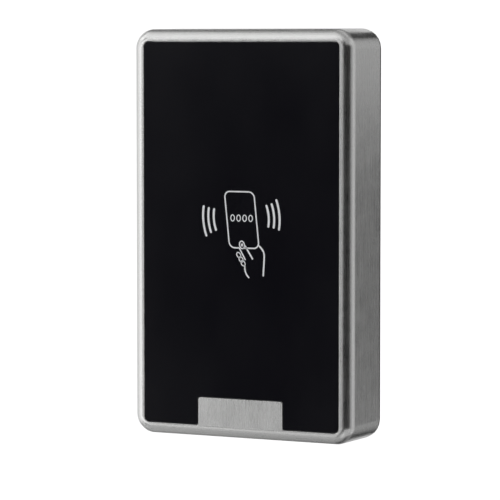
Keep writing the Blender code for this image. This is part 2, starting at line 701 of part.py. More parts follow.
def make_gasket(parent):
    silicone = material("grey_silicone", (0.18, 0.18, 0.18), 0.8)
    shrink = 0.6 * MM
    outer = rounded_rect(SKIRT_W - shrink, SKIRT_H - shrink, SKIRT_R - shrink / 2, 5)
    inner = rounded_rect(DEEP_W + 0.2 * MM, DEEP_H + 0.2 * MM, DEEP_R, 5)
    bm = frame_prism(bmesh.new(), outer, inner, SHOULDER_Y + SKIN, COVER_Y - SKIN)
    add("cover_gasket", bm, silicone, parent=parent)


def make_wall_seal(parent):
    """The soft strip on the case's rear edge, just short of the wall."""
    foam = material("seal_foam", (0.02, 0.02, 0.02), 0.85)
    front, back = -WALL_GAP + SKIN, -0.1 * MM
    shrink = 0.3 * MM
    outer = rounded_rect(CASE_W - shrink, CASE_H - shrink, CORNER_R - shrink / 2, 6)
    inner = rounded_rect(SKIRT_W + shrink, SKIRT_H + shrink, SKIRT_R + shrink / 2, 6)
    bm = frame_prism(bmesh.new(), outer, inner, front, back)
    add("wall_seal", bm, foam, parent=parent)


def make_grommet(parent):
    rubber = material("black_rubber", (0.025, 0.025, 0.025), 0.75)
    neck_r, lip_r = CABLE_HOLE_R - 0.1 * MM, CABLE_HOLE_R + 1.5 * MM
    profile = [
        (CABLE_BORE_R, COVER_Y - 3.6 * MM),
        (CABLE_BORE_R + 0.7 * MM, COVER_Y - 3.6 * MM),
        (CABLE_BORE_R + 1.2 * MM, COVER_Y - 2.0 * MM),
        (lip_r, COVER_Y - 1.4 * MM),
        (lip_r, COVER_Y - SKIN),
        (neck_r, COVER_Y - SKIN),
        (neck_r, COVER_BACK + SKIN),
        (lip_r, COVER_BACK + SKIN),
        (lip_r - 0.8 * MM, COVER_BACK + MM),
        (CABLE_BORE_R, COVER_BACK + MM),
    ]
    bm = turned(bmesh.new(), profile, 24, ring=True)
    add("cable_grommet", bm, rubber, (0, 0, CABLE_Z), parent)


# Screws


def screw_shell(head_r, head_t, shank_r, length, count=18):
    """A screw along Y: a low head with a hexagon socket from y = 0 to head_t, its shank at -y."""
    socket = hexagon(head_r * 0.95, count)
    edge = head_r * 0.15
    rows = [
        row_at(circle(shank_r * 0.6, count), -length),
        row_at(circle(shank_r, count), -length + shank_r * 0.5),
        row_at(circle(shank_r, count), 0.0),
        row_at(circle(head_r, count), 0.0),
        row_at(circle(head_r, count), head_t - edge),
        row_at(circle(head_r - edge, count), head_t),
        row_at(socket, head_t),
        row_at(socket, head_t * 0.4),
    ]
    return loft(bmesh.new(), rows)


def make_screws(parent):
    steel = material("zinc_plated_steel", (0.62, 0.63, 0.65), 0.3, 1.0)
    corners = ("top_left", "top_right", "bottom_left", "bottom_right")
    for corner, (x, z) in zip(corners, cover_screw_places()):
        bm = screw_shell(head_r=2.2 * MM, head_t=1.25 * MM, shank_r=1.1 * MM, length=10 * MM)
        add(f"cover_screw_{corner}", bm, steel, (x, COVER_BACK + SKIN, z), parent)
    for corner, (x, z) in zip(corners, board_screw_places()):
        bm = screw_shell(1.9 * MM, head_t=1.2 * MM, shank_r=0.95 * MM, length=4 * MM, count=12)
        add(f"board_screw_{corner}", bm, steel, (x, BOARD_BACK + SKIN, z), parent)


def make_lock_screw(parent):
    """The screw's own +Y points down, out of the case."""
    steel = material("stainless_steel", (0.66, 0.66, 0.66), 0.28, 1.0)
    axis = empty("lock_screw_axis", (0, LOCK_Y, LOCK_SEAT_Z), parent)
    axis.rotation_euler = (-math.pi / 2, 0, 0)
    washer = [
        (LOCK_R + 0.15 * MM, SKIN),
        (LOCK_BORE_R - 0.2 * MM, SKIN),
        (LOCK_BORE_R - 0.2 * MM, SKIN + LOCK_WASHER_T),
        (LOCK_R + 0.15 * MM, SKIN + LOCK_WASHER_T),
    ]
    nylon = material("washer_nylon", (0.7, 0.7, 0.66), 0.5)
    add("lock_washer", turned(bmesh.new(), washer, 20, ring=True), nylon, parent=axis)
    bm = screw_shell(LOCK_HEAD_R, LOCK_HEAD_T, LOCK_R, LOCK_LENGTH)
    add("lock_screw", bm, steel, (0, LOCK_WASHER_T + 2 * SKIN, 0), axis)


# The wall plate


def flange_top():
    return PLATE_BOTTOM + PLATE_T


def make_wall_plate(parent):
    steel = material("galvanised_steel", (0.55, 0.56, 0.57), 0.4, 1.0)
    middle = (PLATE_TOP + PLATE_BOTTOM) / 2
    outline = rounded_rect(PLATE_W, PLATE_TOP - PLATE_BOTTOM, 3 * MM, z=middle)
    plate = add("wall_plate", prism(bmesh.new(), outline, -PLATE_T, 0.0), steel, parent=parent)
    embed = -PLATE_T / 2
    bends = bmesh.new()
    flange = rect(FLANGE_W, PLATE_T, z=PLATE_BOTTOM + PLATE_T / 2)
    prism(bends, flange, -FLANGE_REACH, embed)
    tip = -PLATE_T - HOOK_REACH
    hook = [
        (embed, HOOK_Z),
        (embed, HOOK_Z + PLATE_T),
        (tip + PLATE_T, HOOK_Z + PLATE_T),
        (tip + PLATE_T, HOOK_Z + PLATE_T + HOOK_UP),
        (tip, HOOK_Z + PLATE_T + HOOK_UP),
        (tip, HOOK_Z),
    ]
    for x in (-HOOK_X, HOOK_X):
        side_prism(bends, hook, x - HOOK_W / 2, x + HOOK_W / 2)
    combine(plate, "UNION", bends, "bends")
    cuts = bmesh.new()
    prism(cuts, circle(PLATE_CABLE_R, 32, z=CABLE_Z), -2 * PLATE_T, MM)
    slots = [(0.0, z, WALL_SLOT_H) for z in WALL_SCREW_Z]
    slots.append((TAMPER_X, TAMPER_Z + LIFT / 2, SLOT_W + LIFT))
    for x, z, height in slots:
        slot = rounded_rect(SLOT_W, height, SLOT_W / 2 - SKIN / 5, 6, x, z)
        prism(cuts, slot, -2 * PLATE_T, MM)
    for x in (-HOOK_X, HOOK_X):
        blank = rect(HOOK_BLANK_W, HOOK_BLANK_H, x, HOOK_Z - 0.1 * MM - HOOK_BLANK_H / 2)
        prism(cuts, blank, -2 * PLATE_T, MM)
    combine(plate, "DIFFERENCE", cuts, "holes")
    rows = [
        [(x, LOCK_Y + y, z) for x, y in circle(LOCK_HOLE_R, 16)]
        for z in (PLATE_BOTTOM - MM, flange_top() + MM)
    ]
    combine(plate, "DIFFERENCE", loft(bmesh.new(), rows), "lock_hole")


def make_lock_nut(parent):
    steel = material("nut_steel", (0.6, 0.6, 0.58), 0.35, 1.0)
    count = 24
    flats, bore = hexagon(NUT_FLATS, count), circle(NUT_BORE_R, count)
    low, high = flange_top() + SKIN, flange_top() + SKIN + NUT_T
    rows = [
        [(x, LOCK_Y + y, z) for x, y in outline]
        for outline, z in ((flats, low), (flats, high), (bore, high), (bore, low))
    ]
    add("lock_nut", loft(bmesh.new(), rows, ring=True), steel, parent=parent)


def main():
    clear_scene()
    wall = empty("wall_frame", (0, 0, 0))
    reader = empty("reader_frame", (0, 0, 0), wall)
    make_wall_plate(wall)
    make_lock_nut(wall)
    make_case(reader)
    make_panel(reader)
    make_tape(reader)
    make_coil(reader)
    make_carrier(reader)
    make_ferrite(reader)
    make_light_guide(reader)
    make_leds(reader)
    make_board(reader)
    make_chips(reader)
    make_crystal(reader)
    make_inductor(reader)
    make_capacitors(reader)
    make_buzzer(reader)
    make_wire_connector(reader)
    make_tamper(reader)
    make_back_cover(reader)
    make_gasket(reader)
    make_wall_seal(reader)
    make_grommet(reader)
    make_screws(reader)
    make_lock_screw(reader)
    apply_booleans()


main()
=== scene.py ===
"""The looks of a wall-mounted RFID card reader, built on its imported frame.

Metres, +Z up, +X to the right seen from the front, +Y into the wall; the front faces -Y.
"""

import math

import bmesh
import bpy
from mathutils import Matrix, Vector


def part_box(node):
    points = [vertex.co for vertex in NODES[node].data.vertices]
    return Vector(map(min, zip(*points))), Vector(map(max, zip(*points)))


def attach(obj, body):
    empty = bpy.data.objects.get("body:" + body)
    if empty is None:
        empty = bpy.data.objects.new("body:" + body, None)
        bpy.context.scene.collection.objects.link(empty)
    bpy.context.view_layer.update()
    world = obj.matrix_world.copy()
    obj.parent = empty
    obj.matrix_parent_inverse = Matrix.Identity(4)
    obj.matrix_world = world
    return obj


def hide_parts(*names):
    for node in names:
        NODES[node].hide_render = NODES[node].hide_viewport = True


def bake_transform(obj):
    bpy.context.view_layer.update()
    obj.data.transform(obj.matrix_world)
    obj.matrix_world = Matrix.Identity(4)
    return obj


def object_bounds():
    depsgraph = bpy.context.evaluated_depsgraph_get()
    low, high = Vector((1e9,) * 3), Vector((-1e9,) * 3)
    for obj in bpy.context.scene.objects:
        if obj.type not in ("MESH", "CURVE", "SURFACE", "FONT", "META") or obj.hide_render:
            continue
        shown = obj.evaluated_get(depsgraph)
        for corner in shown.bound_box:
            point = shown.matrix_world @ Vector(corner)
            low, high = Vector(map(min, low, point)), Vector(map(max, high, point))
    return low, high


MM = 0.001
SHARP = math.radians(35)  # edges that turn by more than this are shaded sharp

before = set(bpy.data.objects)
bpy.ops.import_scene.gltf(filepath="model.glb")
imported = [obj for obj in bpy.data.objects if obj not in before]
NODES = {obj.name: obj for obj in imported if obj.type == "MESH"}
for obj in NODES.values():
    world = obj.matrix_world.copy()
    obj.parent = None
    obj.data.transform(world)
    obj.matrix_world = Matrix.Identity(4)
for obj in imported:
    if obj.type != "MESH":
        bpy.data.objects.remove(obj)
CAD_LOW, CAD_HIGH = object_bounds()
CENTRE = (CAD_LOW + CAD_HIGH) / 2
CASE_LOW, CASE_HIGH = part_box("case")
PANEL_LOW, PANEL_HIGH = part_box("front_panel")

# Case
CASE_W, CASE_H = CASE_HIGH.x - CASE_LOW.x, CASE_HIGH.z - CASE_LOW.z
FRONT_Y, BACK_Y = CASE_LOW.y, CASE_HIGH.y
DRAFT_INSET = 0.18 * MM
CORNER_R, EDGE_R, RECESS_EDGE_R, REAR_EDGE_R = 5.9 * MM, 3.2 * MM, 0.1 * MM, 0.2 * MM
RECESS_D, LEDGE_T = 2.6 * MM, 1.6 * MM
DEEP_W, DEEP_H, DEEP_R = 64.4 * MM, 113.0 * MM, 3.3 * MM
SKIRT_W, SKIRT_H, SKIRT_R = 67.6 * MM, 116.4 * MM, 4.8 * MM
SHOULDER_Y = -5.3 * MM
BOSS_R, BOSS_HOLE_R, BOSS_HOLE_D = 3.4 * MM, 1.25 * MM, 9 * MM
WINDOW_W, WINDOW_TOP, WINDOW_BOTTOM, WINDOW_R = 54.0 * MM, 50.5 * MM, -44.5 * MM, 3.0 * MM
LOCK_BORE_R, LOCK_HOLE_R, LOCK_SEAT_UP = 3.1 * MM, 1.7 * MM, 2.0 * MM

# Panel and the case's opening for it
PANEL_GAP, PANEL_LEFT = 0.2 * MM, 0.15 * MM
PANEL_EDGE_R = 0.08 * MM
TAB_W, TAB_H = 27.6 * MM, 8.3 * MM
OPENING_SIDE = (PANEL_HIGH.x - PANEL_LOW.x) / 2 + PANEL_GAP
OPENING_TOP, OPENING_BOTTOM = PANEL_HIGH.z + PANEL_GAP, PANEL_LOW.z - PANEL_GAP
OPENING_R = 1.6 * MM
TAB_TOP = OPENING_BOTTOM + TAB_H
PRINT_T = 0.03 * MM
PRINT_X, PRINT_Z = 0.02, -0.08  # the print's middle on the panel, in millimetres


# Materials


class Finish:
    """A Principled material whose patterns are placed in the object's own space, in millimetres."""

    def __init__(self, name, **values):
        self.material = bpy.data.materials.new(name)
        self.material.use_nodes = True
        self.tree = self.material.node_tree
        self.shader = self.tree.nodes["Principled BSDF"]
        for socket, value in values.items():
            self.put(self.shader.inputs[socket.replace("_", " ")], value)

    def put(self, socket, value):
        if isinstance(value, bpy.types.NodeSocket):
            self.tree.links.new(value, socket)
        else:
            socket.default_value = value

    def node(self, kind, inputs=(), **settings):
        made = self.tree.nodes.new(kind)
        for setting, value in settings.items():
            setattr(made, setting, value)
        for index, value in enumerate(inputs):
            if value is not None:
                self.put(made.inputs[index], value)
        return made

    def math(self, operation, *inputs):
        return self.node("ShaderNodeMath", inputs, operation=operation).outputs[0]

    def position(self):
        return self.node("ShaderNodeTexCoord").outputs["Object"]

    def axes(self):
        """The x, y and z of the position, in metres."""
        return self.node("ShaderNodeSeparateXYZ", [self.position()]).outputs

    def cells(self, sizes):
        """The position counted in cells of these sizes, in millimetres along X, Y and Z."""
        scale = [1 / (size * MM) for size in sizes]
        inputs = [self.position(), scale]
        return self.node("ShaderNodeVectorMath", inputs, operation="MULTIPLY").outputs[0]

    def noise(self, sizes, detail=3.0):
        made = self.node("ShaderNodeTexNoise")
        self.put(made.inputs["Vector"], self.cells(sizes))
        made.inputs["Scale"].default_value = 1.0
        made.inputs["Detail"].default_value = detail
        return made.outputs[0]

    def grains(self, sizes):
        """A random grey for each crystal or fleck of about these sizes."""
        made = self.node("ShaderNodeTexVoronoi")
        self.put(made.inputs["Vector"], self.cells(sizes))
        made.inputs["Scale"].default_value = 1.0
        return self.node("ShaderNodeSeparateColor", [made.outputs["Color"]]).outputs[0]

    def span(self, value, low, high, start=0.3, end=0.7):
        """The value moved from between start and end to between low and high."""
        inputs = [value, start, end, low, high]
        return self.node("ShaderNodeMapRange", inputs).outputs[0]

    def choose(self, share, first, second):
        """The first colour where share is 0, the second where it is 1."""
        made = self.node("ShaderNodeMix", data_type="RGBA")
        for index, value in ((0, share), (6, first), (7, second)):
            self.put(made.inputs[index], value)
        return made.outputs[2]

    def colour(self, share, first, second):
        self.put(self.shader.inputs["Base Color"], self.choose(share, (*first, 1), (*second, 1)))
        return self

    def rough(self, value):
        self.put(self.shader.inputs["Roughness"], value)
        return self

    def bump(self, height, depth):
        """Raises the surface by depth millimetres where height is 1."""
        made = self.node("ShaderNodeBump")
        made.inputs["Strength"].default_value = 1.0
        made.inputs["Distance"].default_value = depth * MM
        self.put(made.inputs["Height"], height)
        before = self.shader.inputs["Normal"]
        if before.is_linked:
            self.put(made.inputs["Normal"], before.links[0].from_socket)
        self.put(before, made.outputs[0])
        return self


def moulded(name, dark, light, roughness, grain, depth, **values):
    """Moulded plastic or rubber: a fine grain, and soft clouds of shade and gloss."""
    finish = Finish(name, **values)
    clouds = finish.noise((9, 9, 9))
    fine = finish.noise((grain, grain, grain), 4)
    finish.colour(finish.span(clouds, 0, 1), dark, light)
    finish.rough(finish.span(fine, roughness - 0.07, roughness + 0.07))
    return finish.bump(fine, depth).material


def metal(name, dark, light, roughness, sizes, depth):
    """Bare metal with marks of these sizes, in millimetres along X, Y and Z, and faint stains."""
    finish = Finish(name, Metallic=1.0)
    marks = finish.noise(sizes, 5)
    stains = finish.noise((6, 6, 6))
    finish.colour(finish.span(stains, 0, 1), dark, light)
    rough = finish.math("ADD", finish.span(marks, -0.06, 0.06), finish.span(stains, -0.04, 0.04))
    finish.rough(finish.math("ADD", rough, roughness))
    return finish.bump(marks, depth).material


def brushed_zinc():
    """Cast zinc, brushed along each side of the case. The two directions meet at the corners."""
    end_rim = 3.5 * MM  # only this much of each end is brushed across
    finish = Finish("satin_zinc", Metallic=1.0, Anisotropic=0.6)
    x, _, z = finish.axes()
    past_side = finish.math("SUBTRACT", finish.math("ABSOLUTE", x), CASE_W / 2 - CORNER_R)
    past_end = finish.math("SUBTRACT", finish.math("ABSOLUTE", z), CASE_H / 2 - CORNER_R)
    nearer_end = finish.span(finish.math("SUBTRACT", past_end, past_side), 0, 1, -MM, MM)
    beyond_panel = finish.math("GREATER_THAN", past_end, CORNER_R - end_rim)
    along_x = finish.math("MULTIPLY", nearer_end, beyond_panel)

    def brushed(across, length):
        upright = finish.noise((across, across, length), 4)
        level = finish.noise((length, across, across), 4)
        return finish.node("ShaderNodeMix", [along_x, None, upright, level]).outputs[0]

    fine, coarse = brushed(0.1, 14), brushed(0.34, 30)
    clouds = finish.noise((7, 7, 7))
    shade = finish.math("ADD", finish.span(coarse, -0.2, 0.2), finish.span(fine, 0.2, 0.8))
    finish.colour(shade, (0.6, 0.6, 0.595), (0.66, 0.66, 0.655))
    rough = finish.math("ADD", finish.span(fine, 0.22, 0.32), finish.span(clouds, -0.02, 0.02))
    finish.rough(rough)
    around_z = finish.node("ShaderNodeTangent", direction_type="RADIAL", axis="Z").outputs[0]
    around_x = finish.node("ShaderNodeTangent", direction_type="RADIAL", axis="X").outputs[0]
    tangent = finish.node("ShaderNodeMix", data_type="VECTOR")
    for index, value in ((0, along_x), (4, around_z), (5, around_x)):
        finish.put(tangent.inputs[index], value)
    finish.put(finish.shader.inputs["Tangent"], tangent.outputs[1])
    finish.bump(fine, 0.0025)
    return finish.bump(coarse, 0.002).material


def black_gloss():
    """A hard-coated black acrylic sheet, with faint smears and hair scratches."""
    finish = Finish("black_panel", IOR=1.49)
    smears = finish.noise((14, 14, 22), 4)
    scratches = finish.noise((0.3, 0.3, 9), 2)
    finish.colour(finish.span(smears, 0, 1), (0.003, 0.0028, 0.0054), (0.0038, 0.0036, 0.0062))
    rough = finish.math("ADD", finish.span(smears, 0.122, 0.14), finish.span(scratches, 0, 0.008))
    finish.rough(rough)
    return finish.bump(scratches, 0.0001).material


def white_print():
    finish = Finish("white_print")
    grain = finish.noise((0.25, 0.25, 0.25))
    finish.colour(finish.span(grain, 0, 1), (0.86, 0.87, 0.89), (0.92, 0.925, 0.94))
    return finish.rough(finish.span(grain, 0.4, 0.55)).material


def galvanised():
    """Hot-dip galvanised sheet: spangles that differ in shade and gloss, and rolling marks."""
    finish = Finish("galvanised_steel", Metallic=1.0)
    spangle = finish.grains((3.2, 3.2, 3.2))
    rolling = finish.noise((0.2, 0.2, 18), 4)
    stains = finish.noise((11, 11, 11))
    shade = finish.math("ADD", finish.math("MULTIPLY", spangle, 0.6), finish.span(stains, 0, 0.4))
    finish.colour(shade, (0.44, 0.45, 0.46), (0.66, 0.67, 0.685))
    rough = finish.math("ADD", finish.span(spangle, 0.3, 0.46, 0, 1), finish.span(rolling, 0, 0.05))
    finish.rough(rough)
    finish.bump(spangle, 0.003)
    return finish.bump(rolling, 0.002).material


def circuit_board():
    """Green solder resist over copper tracks on a square grid."""
    finish = Finish("green_resist", Coat_Weight=0.4, Coat_Roughness=0.15)
    tracks = finish.node("ShaderNodeTexVoronoi", feature="DISTANCE_TO_EDGE", distance="EUCLIDEAN")
    finish.put(tracks.inputs["Vector"], finish.cells((3.1, 50, 1.9)))
    tracks.inputs["Scale"].default_value = 1.0
    tracks.inputs["Randomness"].default_value = 0.55
    copper = finish.span(tracks.outputs["Distance"], 1, 0, 0.05, 0.09)
    finish.colour(copper, (0.012, 0.105, 0.045), (0.03, 0.21, 0.085))
    finish.rough(finish.span(finish.noise((2, 2, 2)), 0.3, 0.42))
    return finish.bump(copper, 0.03).material


def leaded_chip():
    """Black epoxy between two rows of tinned leads."""
    low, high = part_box("rf_chip")
    body_half = 1.97 * MM
    finish = Finish("leaded_chip")
    x, _, _ = finish.axes()
    off_centre = finish.math("ABSOLUTE", finish.math("SUBTRACT", x, (low.x + high.x) / 2))
    lead = finish.math("GREATER_THAN", off_centre, body_half)
    grain = finish.noise((0.2, 0.2, 0.2))
    finish.colour(lead, (0.018, 0.018, 0.019), (0.66, 0.65, 0.63))
    finish.put(finish.shader.inputs["Metallic"], lead)
    finish.rough(finish.span(grain, 0.42, 0.6))
    return finish.bump(grain, 0.01).material


def wound_copper():
    """Enamelled wire, turn beside turn round the coil's own outline. Its colour holds painted shade
    in the grooves between turns and a painted highlight on their crests.
    """
    low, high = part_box("antenna_coil")
    corner, pitch = 8.8 * MM, 0.25 * MM
    finish = Finish("enamelled_copper", Metallic=1.0, Coat_Weight=0.5, Coat_Roughness=0.2)
    x, _, z = finish.axes()
    off = []
    for value, half in ((x, (high.x - low.x) / 2), (z, (high.z - low.z) / 2)):
        beyond = finish.math("SUBTRACT", finish.math("ABSOLUTE", value), half - corner)
        off.append(finish.math("MAXIMUM", beyond, 0.0))
    reach = finish.math("SQRT", finish.math("ADD", *(finish.math("POWER", o, 2.0) for o in off)))
    turns = finish.math("SINE", finish.math("MULTIPLY", reach, 2 * math.pi / pitch))
    height = finish.span(turns, 0, 1, -1, 1)
    # painted shade and highlight: the copper is coloured darker in the grooves between turns and
    # lighter on the crests, and the same height drives the bump
    finish.colour(height, (0.2, 0.06, 0.02), (0.62, 0.25, 0.1))
    finish.rough(finish.span(finish.noise((2, 2, 2)), 0.25, 0.4))
    return finish.bump(height, 0.1).material


def sleeved_can():
    """An aluminium capacitor can with its black marking on one side."""
    low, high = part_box("capacitor_upper")
    marking_from, base_h = 1.3 * MM, 0.9 * MM
    finish = Finish("capacitor_can", Metallic=1.0)
    x, y, _ = finish.axes()
    left_by = finish.math("SUBTRACT", (low.x + high.x) / 2, x)
    side = finish.math("GREATER_THAN", left_by, marking_from)
    base = finish.math("LESS_THAN", y, low.y + base_h)
    black = finish.math("MAXIMUM", side, base)
    scuffs = finish.noise((0.3, 2, 0.3))
    finish.colour(black, (0.62, 0.63, 0.65), (0.015, 0.015, 0.016))
    return finish.rough(finish.span(scuffs, 0.24, 0.38)).bump(scuffs, 0.004).material


def dress_nodes():
    """Gives the CAD nodes their finishes. Pieces that stand for a node get theirs when made."""
    steel_screw = metal(
        "zinc_plated_steel", (0.56, 0.57, 0.58), (0.68, 0.69, 0.7), 0.27, (0.15, 1, 0.15), 0.003
    )
    epoxy = moulded("black_epoxy", (0.014, 0.014, 0.015), (0.022, 0.022, 0.022), 0.5, 0.2, 0.01)
    led = moulded(
        "led_lens", (0.78, 0.78, 0.68), (0.88, 0.88, 0.8), 0.22, 1.0, 0.004, Coat_Weight=0.5
    )
    can = sleeved_can()
    finishes = {
        "wall_plate": galvanised(),
        "back_cover": moulded(
            "black_abs", (0.022, 0.022, 0.024), (0.032, 0.032, 0.034), 0.48, 0.22, 0.035
        ),
        "wall_seal": moulded(
            "seal_foam", (0.012, 0.012, 0.012), (0.02, 0.02, 0.02), 0.9, 0.25, 0.03
        ),
        "cable_grommet": moulded(
            "black_rubber", (0.014, 0.014, 0.014), (0.026, 0.026, 0.026), 0.7, 0.5, 0.02
        ),
        "cover_gasket": moulded(
            "grey_silicone", (0.16, 0.16, 0.16), (0.2, 0.2, 0.2), 0.7, 0.6, 0.02
        ),
        "panel_tape": moulded("tape_foam", (0.04, 0.04, 0.04), (0.06, 0.06, 0.06), 0.85, 0.3, 0.05),
        "coil_carrier": moulded(
            "white_nylon", (0.68, 0.67, 0.63), (0.75, 0.74, 0.71), 0.45, 0.5, 0.01
        ),
        "ferrite_sheet": moulded(
            "ferrite", (0.045, 0.04, 0.04), (0.07, 0.063, 0.062), 0.62, 0.3, 0.012
        ),
        "light_guide": moulded(
            "clear_acrylic",
            (0.9, 0.94, 0.95),
            (0.96, 0.98, 0.98),
            0.12,
            3.0,
            0.004,
            Transmission_Weight=1.0,
            IOR=1.49,
        ),
        "main_board": circuit_board(),
        "rf_chip": leaded_chip(),
        "antenna_coil": wound_copper(),
        "crystal": metal(
            "nickel_can", (0.5, 0.49, 0.47), (0.64, 0.63, 0.6), 0.24, (1.2, 1.2, 0.2), 0.002
        ),
        "inductor": moulded("ferrite_grey", (0.1, 0.1, 0.11), (0.14, 0.14, 0.15), 0.6, 0.25, 0.02),
        "buzzer": moulded(
            "buzzer_plastic", (0.024, 0.024, 0.024), (0.034, 0.034, 0.034), 0.42, 0.3, 0.008
        ),
        "wire_connector": moulded(
            "ivory_nylon", (0.72, 0.67, 0.56), (0.8, 0.76, 0.66), 0.45, 0.6, 0.008
        ),
        "tamper_switch": moulded(
            "switch_plastic", (0.03, 0.03, 0.034), (0.045, 0.045, 0.05), 0.45, 0.3, 0.008
        ),
        "tamper_plunger": moulded(
            "plunger_acetal", (0.76, 0.76, 0.73), (0.82, 0.82, 0.8), 0.36, 0.8, 0.004
        ),
        "lock_washer": moulded(
            "washer_nylon", (0.66, 0.66, 0.6), (0.73, 0.73, 0.68), 0.45, 0.5, 0.006
        ),
        "lock_screw": metal(
            "stainless_steel", (0.6, 0.6, 0.59), (0.7, 0.7, 0.69), 0.24, (0.5, 0.12, 0.12), 0.002
        ),
        "lock_nut": metal(
            "nut_steel", (0.54, 0.54, 0.5), (0.64, 0.64, 0.6), 0.33, (0.3, 0.3, 0.3), 0.006
        ),
    }
    for name in ("microcontroller", "regulator", "protection_diode"):
        finishes[name] = epoxy
    for side in ("left", "right"):
        finishes[f"status_led_{side}"] = led
    for place in ("upper", "lower"):
        finishes[f"capacitor_{place}"] = can
    for corner in ("top_left", "top_right", "bottom_left", "bottom_right"):
        finishes[f"cover_screw_{corner}"] = steel_screw
        finishes[f"board_screw_{corner}"] = steel_screw
    for name, finish in finishes.items():
        NODES[name].data.materials.clear()
        NODES[name].data.materials.append(finish)


def soften(name, width):
    """Breaks the sharp edges of a CAD node, as stamping, moulding or turning leaves them."""
    node = NODES[name]
    weld = node.modifiers.new("weld", "WELD")
    weld.merge_threshold = 0.001 * MM
    bevel = node.modifiers.new("broken_edges", "BEVEL")
    bevel.width = width
    bevel.segments = 2
    bevel.limit_method = "ANGLE"
    bevel.angle_limit = SHARP
    shading = node.modifiers.new("flat_faces", "WEIGHTED_NORMAL")
    shading.keep_sharp = True


# Shapes. Outlines are lists of (x, z) points, and shells are lofts through rows of points.


def filleted(corners, steps):
    """Outline through (x, z, radius) corners, each rounded by an arc of its radius."""
    outline = []
    for i, (x, z, radius) in enumerate(corners):
        here = Vector((x, z))
        back = (Vector(corners[i - 1][:2]) - here).normalized()
        ahead = (Vector(corners[(i + 1) % len(corners)][:2]) - here).normalized()
        half = back.angle(ahead) / 2
        centre = here + (back + ahead).normalized() * radius / math.sin(half)
        start = here + back * radius / math.tan(half) - centre
        end = here + ahead * radius / math.tan(half) - centre
        first = math.atan2(start.y, start.x)
        sweep = (math.atan2(end.y, end.x) - first + math.pi) % (2 * math.pi) - math.pi
        for step in range(steps + 1):
            angle = first + sweep * step / steps
            outline.append(
                (centre.x + radius * math.cos(angle), centre.y + radius * math.sin(angle))
            )
    return outline


def rounded_rect(width, height, radius, steps=8, x=0.0, z=0.0):
    left, right = x - width / 2, x + width / 2
    low, high = z - height / 2, z + height / 2
    corners = [(left, low), (right, low), (right, high), (left, high)]
    return filleted([(*corner, radius) for corner in corners], steps)


def circle(radius, count=48, x=0.0, z=0.0):
    angles = [2 * math.pi * i / count for i in range(count)]
    return [(x + radius * math.cos(a), z + radius * math.sin(a)) for a in angles]


def loft(bm, rows, ring=False):
    """Skins rows of equally many points into one closed shell, capped, or closed into a ring."""
    verts = [[bm.verts.new(point) for point in row] for row in rows]
    pairs = list(zip(verts, verts[1:]))
    if ring:
        pairs.append((verts[-1], verts[0]))
    else:
        bm.faces.new(verts[0])
        bm.faces.new(verts[-1])
    for row, following in pairs:
        for i in range(len(row)):
            j = (i + 1) % len(row)
            bm.faces.new((row[i], row[j], following[j], following[i]))
    return bm


def row_at(outline, y):
    return [(x, y, z) for x, z in outline]


def prism(bm, outline, front, back):
    return loft(bm, [row_at(outline, front), row_at(outline, back)])


def piece(name, bm, material):
    bmesh.ops.recalc_face_normals(bm, faces=bm.faces)
    mesh = bpy.data.meshes.new(name)
    bm.to_mesh(mesh)
    bm.free()
    mesh.materials.append(material)
    made = bpy.data.objects.new(name, mesh)
    bpy.context.scene.collection.objects.link(made)
    return made


def combine(obj, operation, bm):
    """Cuts the shells of a bmesh from the object, or joins them to it."""
    helper = piece(f"{obj.name}_helper", bm, obj.data.materials[0])
    boolean = obj.modifiers.new("boolean", "BOOLEAN")
    boolean.operation = operation
    boolean.solver = "EXACT"
    boolean.object = helper
    graph = bpy.context.evaluated_depsgraph_get()
    mesh = bpy.data.meshes.new_from_object(obj.evaluated_get(graph))
    obj.modifiers.clear()
    obj.data = mesh
    bpy.data.objects.remove(helper, do_unlink=True)


def rounding(radius, level, way, steps=4):
    """(inset, y) of a rounded edge, from the flat face at y = level to the side. way is 1 or -1."""
    turns = [math.pi / 2 * step / steps for step in range(steps + 1)]
    return [(radius * (1 - math.sin(t)), level + way * radius * (1 - math.cos(t))) for t in turns]


def shade(obj):
    """Smooth round faces and flat flat ones."""
    obj.data.shade_smooth()
    obj.data.set_sharp_from_angle(angle=SHARP)
    shading = obj.modifiers.new("flat_faces", "WEIGHTED_NORMAL")
    shading.keep_sharp = True


def stand_for(obj, body, node):
    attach(obj, body)
    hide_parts(node)


# Case and panel


def outer_rows():
    """The case's skin: a round front edge, then the drafted side down to the wall."""
    rows = [(DRAFT_INSET + i, y) for i, y in rounding(EDGE_R, FRONT_Y, 1, 16)]
    rows += rounding(REAR_EDGE_R, BACK_Y, -1)[::-1]
    return [
        row_at(rounded_rect(CASE_W - 2 * i, CASE_H - 2 * i, CORNER_R - i, 24), y) for i, y in rows
    ]


def opening_outline(gap=0.0, steps=10):
    """The panel's opening, notched for the tab. A gap makes it smaller all round."""
    side, top, bottom = OPENING_SIDE - gap, OPENING_TOP - gap, OPENING_BOTTOM + gap
    notch_side, notch_top = TAB_W / 2 + gap, TAB_TOP + gap
    inner_r, outer_r = 0.5 * MM, 0.8 * MM
    corners = [
        (-side, bottom, OPENING_R),
        (-notch_side, bottom, inner_r),
        (-notch_side, notch_top, outer_r),
        (notch_side, notch_top, outer_r),
        (notch_side, bottom, inner_r),
        (side, bottom, OPENING_R),
        (side, top, OPENING_R),
        (-side, top, OPENING_R),
    ]
    return filleted(corners, steps)


